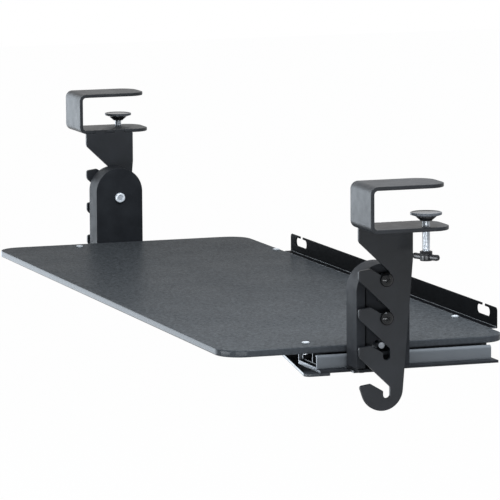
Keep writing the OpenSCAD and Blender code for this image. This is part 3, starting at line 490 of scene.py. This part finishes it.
def turned(node, name, profile, start, out, mat, top=None):
    """Turns (radius, distance) points about X, outwards from start; top(point) lowers points of the end."""
    mid = box_of(node)[2]
    bm = bmesh.new()
    lathe(bm, profile, (0.0, 0.0, 0.0), TURNED_STEPS)
    if top:
        for v in bm.verts:
            v.co.z -= top(v.co)
    bm.transform(Matrix.Translation((start, mid.y, mid.z)) @ Matrix.Rotation(math.radians(90.0 * out), 4, "Y"))
    return piece(name, bm, mat, node)


def ends_of(node, out):
    """X of a node's start and its length along X, seen outwards."""
    low, high, _ = box_of(node)
    start, end = (low.x, high.x) if out > 0 else (high.x, low.x)
    return start, abs(end - start)


# Hook pins: a shank with a collar, and outside the hook plate a washer under a domed head; the washer is dead
# matte black, a painted shadow that draws the dark ring round the head. Each part has its radius and the chamfer
# of its edges.
PIN_SHANK, PIN_SHANK_CHAMFER = 2.5 * MM, 0.2 * MM
PIN_COLLAR, PIN_COLLAR_CHAMFER = 4.0 * MM, 0.3 * MM
PIN_COLLAR_START, PIN_NECK, PIN_TOP = 3.0 * MM, 4.0 * MM, 3.0 * MM
PIN_HEAD, PIN_HEAD_CHAMFER = 4.65 * MM, 0.15 * MM
PIN_HEAD_RIM, PIN_HEAD_RISE = 0.5 * MM, 1.5 * MM
PIN_OVERLAP = 0.2 * MM
WASHER, WASHER_CHAMFER = 5.3 * MM, 0.1 * MM
WASHER_BORE, WASHER_THICK = 2.6 * MM, 0.6 * MM


def hook_pin(level, side):
    node = f"{level}_pin_{side}"
    out = 1 if side == "right" else -1
    inner, length = ends_of(node, out)
    head = length - PIN_TOP
    back = head - PIN_NECK
    shank = [(0.0, 0.0), (PIN_SHANK - PIN_SHANK_CHAMFER, 0.0), (PIN_SHANK, PIN_SHANK_CHAMFER)]
    shank += [(PIN_SHANK, PIN_COLLAR_START), (PIN_COLLAR - PIN_COLLAR_CHAMFER, PIN_COLLAR_START),
              (PIN_COLLAR, PIN_COLLAR_START + PIN_COLLAR_CHAMFER)]
    shank += [(PIN_COLLAR, back - PIN_COLLAR_CHAMFER), (PIN_COLLAR - PIN_COLLAR_CHAMFER, back),
              (PIN_SHANK, back)]
    shank += [(PIN_SHANK, head + PIN_OVERLAP), (0.0, head + PIN_OVERLAP)]
    turned(node, f"pin_shank_{level}_{side}", shank, inner, out, PIN)
    washer = [(WASHER_BORE, 0.0), (WASHER - WASHER_CHAMFER, 0.0), (WASHER, WASHER_CHAMFER)]
    washer += [(WASHER, WASHER_THICK - WASHER_CHAMFER), (WASHER - WASHER_CHAMFER, WASHER_THICK)]
    washer += [(WASHER_BORE, WASHER_THICK), (WASHER_BORE, 0.0)]
    turned(node, f"pin_shadow_washer_{level}_{side}", washer, inner + out * head, out, WASHER_PAINTED_SHADOW)
    cap = [(0.0, 0.0), (PIN_HEAD - PIN_HEAD_CHAMFER, 0.0), (PIN_HEAD, PIN_HEAD_CHAMFER), (PIN_HEAD, PIN_HEAD_RIM)]
    cap += dome(PIN_HEAD, PIN_HEAD_RIM, PIN_HEAD_RISE, rings=30)
    recess = cross_recess(reach=2.8 * MM, half=0.6 * MM, depth=1.5 * MM, above=PIN_HEAD_RIM + 0.1 * MM)
    turned(node, f"pin_head_{level}_{side}", cap, inner + out * (head + WASHER_THICK), out, PIN, recess)


# Pivot bolts: a shank with a flat round head, dished in its middle, where the darker stud plating is painted
# shade
BOLT_SHANK, BOLT_SHANK_CHAMFER = 3.0 * MM, 0.3 * MM
BOLT_HEAD, BOLT_HEAD_CHAMFER = 4.35 * MM, 0.2 * MM
BOLT_HEAD_HEIGHT, BOLT_FACE, BOLT_ROUND = 3.2 * MM, 0.1 * MM, 0.85 * MM
DISH_RIM, DISH_FLOOR, DISH_DEPTH, DISH_PAINTED_SHADE = 2.7 * MM, 2.4 * MM, 0.8 * MM, 2.3 * MM


def pivot_bolt(side):
    node = f"pivot_bolt_{side}"
    out = -1 if side == "right" else 1
    start, length = ends_of(node, out)
    head = length - BOLT_HEAD_HEIGHT
    face = length - BOLT_FACE
    profile = [(0.0, 0.0), (BOLT_SHANK - BOLT_SHANK_CHAMFER, 0.0), (BOLT_SHANK, BOLT_SHANK_CHAMFER)]
    profile += [(BOLT_SHANK, head), (BOLT_HEAD - BOLT_HEAD_CHAMFER, head), (BOLT_HEAD, head + BOLT_HEAD_CHAMFER)]
    profile += arc(BOLT_HEAD - BOLT_ROUND, face - BOLT_ROUND, BOLT_ROUND, 0, 90, 8)
    profile += [(DISH_RIM, face), (DISH_FLOOR, length - DISH_DEPTH), (0.0, length - DISH_DEPTH)]
    obj = turned(node, f"bolt_{side}", profile, start, out, BOLT)
    # Painted shade: faces in the middle of the dish get the darker, duller stud plating.
    obj.data.materials.append(STUD)
    mid = box_of(node)[2]
    for f in obj.data.polygons:
        inside = math.hypot(f.center.y - mid.y, f.center.z - mid.z) < DISH_PAINTED_SHADE
        f.material_index = 1 if inside else 0


# Tray screws: low domed heads with a cross recess
SCREW_HEAD_HEIGHT = 1.6 * MM
SCREW_HEAD_SHARE = 0.84
SCREW_SHANK, SCREW_CHAMFER = 1.9 * MM, 0.1 * MM
SCREW_RIM, SCREW_RISE = 0.9 * MM, 0.55 * MM
SCREW_STEPS = 64


def tray_screw(end, side):
    node = f"{end}_screw_{side}"
    low, high, mid = box_of(node)
    head = high.z - low.z - SCREW_HEAD_HEIGHT
    r = SCREW_HEAD_SHARE * (high.x - low.x) / 2
    profile = [(0.0, 0.0), (SCREW_SHANK, 0.0), (SCREW_SHANK, head)]
    profile += [(r - SCREW_CHAMFER, head), (r, head + SCREW_CHAMFER)]
    profile += dome(r, head + SCREW_RIM, SCREW_RISE, rings=24)
    bm = bmesh.new()
    lathe(bm, profile, (0.0, 0.0, 0.0), SCREW_STEPS)
    recess = cross_recess(reach=1.9 * MM, half=0.4 * MM, depth=0.7 * MM, above=head + SCREW_RIM + 0.05 * MM)
    for v in bm.verts:
        v.co.z -= recess(v.co)
    bm.transform(Matrix.Translation((mid.x, mid.y, low.z)))
    piece(f"tray_screw_{end}_{side}", bm, SCREW, node)


for side in SIDES:
    threaded_rod(side)
    swivel_pad(side)
    winged_knob(side)
    hook_pin("upper", side)
    hook_pin("lower", side)
    pivot_bolt(side)
    tray_screw("front", side)
    tray_screw("back", side)

# Pressed, turned and sawn parts, with their edges rounded over
EASE = {"tray_board": 1.1 * MM, "fence": 0.5 * MM, "cross_plate": 0.5 * MM}
for side in SIDES:
    EASE.update({f"strap_{side}": 0.55 * MM, f"hook_plate_{side}": 0.45 * MM, f"carrier_{side}": 0.45 * MM,
                 f"pin_plate_{side}": 0.4 * MM, f"slide_bed_{side}": 0.15 * MM, f"slide_outer_{side}": 0.15 * MM,
                 f"slide_inner_{side}": 0.2 * MM, f"slide_middle_{side}": 0.15 * MM,
                 f"stop_pin_{side}": 0.25 * MM, f"pivot_nut_{side}": 0.2 * MM})
FINISH = {"fence": FENCE, "stop_pin_left": STUD, "stop_pin_right": STUD}
Y_AXIS, Z_AXIS = 1, 2
for node, width in EASE.items():
    obj = eased(node, FINISH.get(node, BY_SLOT[SLOT_OF[node]]), width, 3 if node == "tray_board" else 2)
    if node == "tray_board":
        faced(obj, EDGE, Z_AXIS, 0.0, 0.8)
    elif node == "fence":
        # Painted highlight: the sloped faces of the fence's lower bend get the light bend colour.
        faced(obj, FENCE_BEND_PAINTED_HIGHLIGHT, Z_AXIS, 0.3, 0.9, lower_half=True)
    elif node == "cross_plate":
        # Painted sheen on the cross plate's side faces.
        faced(obj, PLATE_EDGE_PAINTED_SHEEN, Z_AXIS, 0.0, 0.5)
    elif node.startswith(("slide_inner", "slide_outer", "slide_bed")):
        faced(obj, CUT, Y_AXIS, 0.9, 1.1)

# Every other CAD node keeps its shape and gets its material
for node, obj in frame["nodes"].items():
    if node not in REBUILT:
        dress(obj, BY_SLOT[SLOT_OF[node]])


# Floor and world, with a white background for the camera and for mirrored and transmitted rays
FLOOR_HALF, FLOOR_Z, FLOOR_WHITE = 9.0, -0.75, 0.985
WHITE = (1.0, 1.0, 1.0, 1.0)


def white_background(t, own, white, lift, out):
    """Mixes a white that the camera and mirrored rays see with the surface's or the sky's own light."""
    path = t.nodes.new("ShaderNodeLightPath")
    seen = path.outputs["Is Camera Ray"]
    for ray in ("Is Glossy Ray", "Is Transmission Ray"):
        either = t.nodes.new("ShaderNodeMath")
        either.operation = "MAXIMUM"
        t.links.new(seen, either.inputs[0])
        t.links.new(path.outputs[ray], either.inputs[1])
        seen = either.outputs[0]
    amount = t.nodes.new("ShaderNodeMath")
    amount.operation = "MULTIPLY"
    amount.inputs[1].default_value = lift
    t.links.new(seen, amount.inputs[0])
    mix = t.nodes.new("ShaderNodeMixShader")
    t.links.new(amount.outputs[0], mix.inputs["Fac"])
    t.links.new(own, mix.inputs[1])
    t.links.new(white, mix.inputs[2])
    t.links.new(mix.outputs[0], out)


floor_mesh = bpy.data.meshes.new("floor")
corners = ((-1, -1), (1, -1), (1, 1), (-1, 1))
floor_mesh.from_pydata([(x * FLOOR_HALF, y * FLOOR_HALF, FLOOR_Z) for x, y in corners], [], [(0, 1, 2, 3)])
floor = bpy.data.objects.new("floor", floor_mesh)
LINKS.objects.link(floor)
floor_mat = bpy.data.materials.new("floor_white")
floor_mat.use_nodes = True
tree = floor_mat.node_tree
floor_shader = tree.nodes["Principled BSDF"]
floor_shader.inputs["Base Color"].default_value = (0.85, 0.85, 0.85, 1.0)
floor_shader.inputs["Roughness"].default_value = 0.9
glow = tree.nodes.new("ShaderNodeEmission")
glow.inputs["Color"].default_value = WHITE
white_background(tree, floor_shader.outputs[0], glow.outputs[0], FLOOR_WHITE,
                 tree.nodes["Material Output"].inputs["Surface"])
dress(floor, floor_mat)

world = bpy.data.worlds.new("studio")
bpy.context.scene.world = world
world.use_nodes = True
tree = world.node_tree
sky = tree.nodes["Background"]
sky.inputs["Color"].default_value = (0.8, 0.9, 1.0, 1.0)
sky.inputs["Strength"].default_value = 0.4
bright = tree.nodes.new("ShaderNodeBackground")
bright.inputs["Color"].default_value = WHITE
white_background(tree, sky.outputs[0], bright.outputs[0], 1.0, tree.nodes["World Output"].inputs["Surface"])


# Lamps
def lamp(name, at, to, wide, tall, power, colour):
    data = bpy.data.lights.new(name, "AREA")
    data.shape = "RECTANGLE"
    data.size, data.size_y = wide, tall
    data.energy = power
    data.color = colour
    obj = bpy.data.objects.new(name, data)
    LINKS.objects.link(obj)
    obj.location = at
    obj.rotation_euler = (Vector(to) - Vector(at)).to_track_quat("-Z", "Y").to_euler()


# The long box stands to the left, where the upright faces towards the user mirror it. The front and side
# boxes are low strips that show as two bands in the board's corner and as a glint on the pins' heads. The top
# box hangs over the right end.
lamp("long_box", (-2.4, -1.05, -0.1), (0.1, 0.0, -0.1), 2.6, 1.3, 38.5, (0.8, 0.9, 1.0))
lamp("front_box", (0.5, -2.55, -0.45), (0.3, 0.0, -0.1), 2.2, 0.32, 42.0, (0.9, 0.95, 1.0))
lamp("side_box", (2.85, -0.6, -0.46), (0.3, -0.1, -0.1), 2.4, 0.32, 33.0, (0.93, 0.97, 1.0))
lamp("top_box", (0.56, 0.05, 0.6), (0.5, 0.051, -0.12), 0.5, 0.6, 15.0, (0.86, 0.93, 1.0))
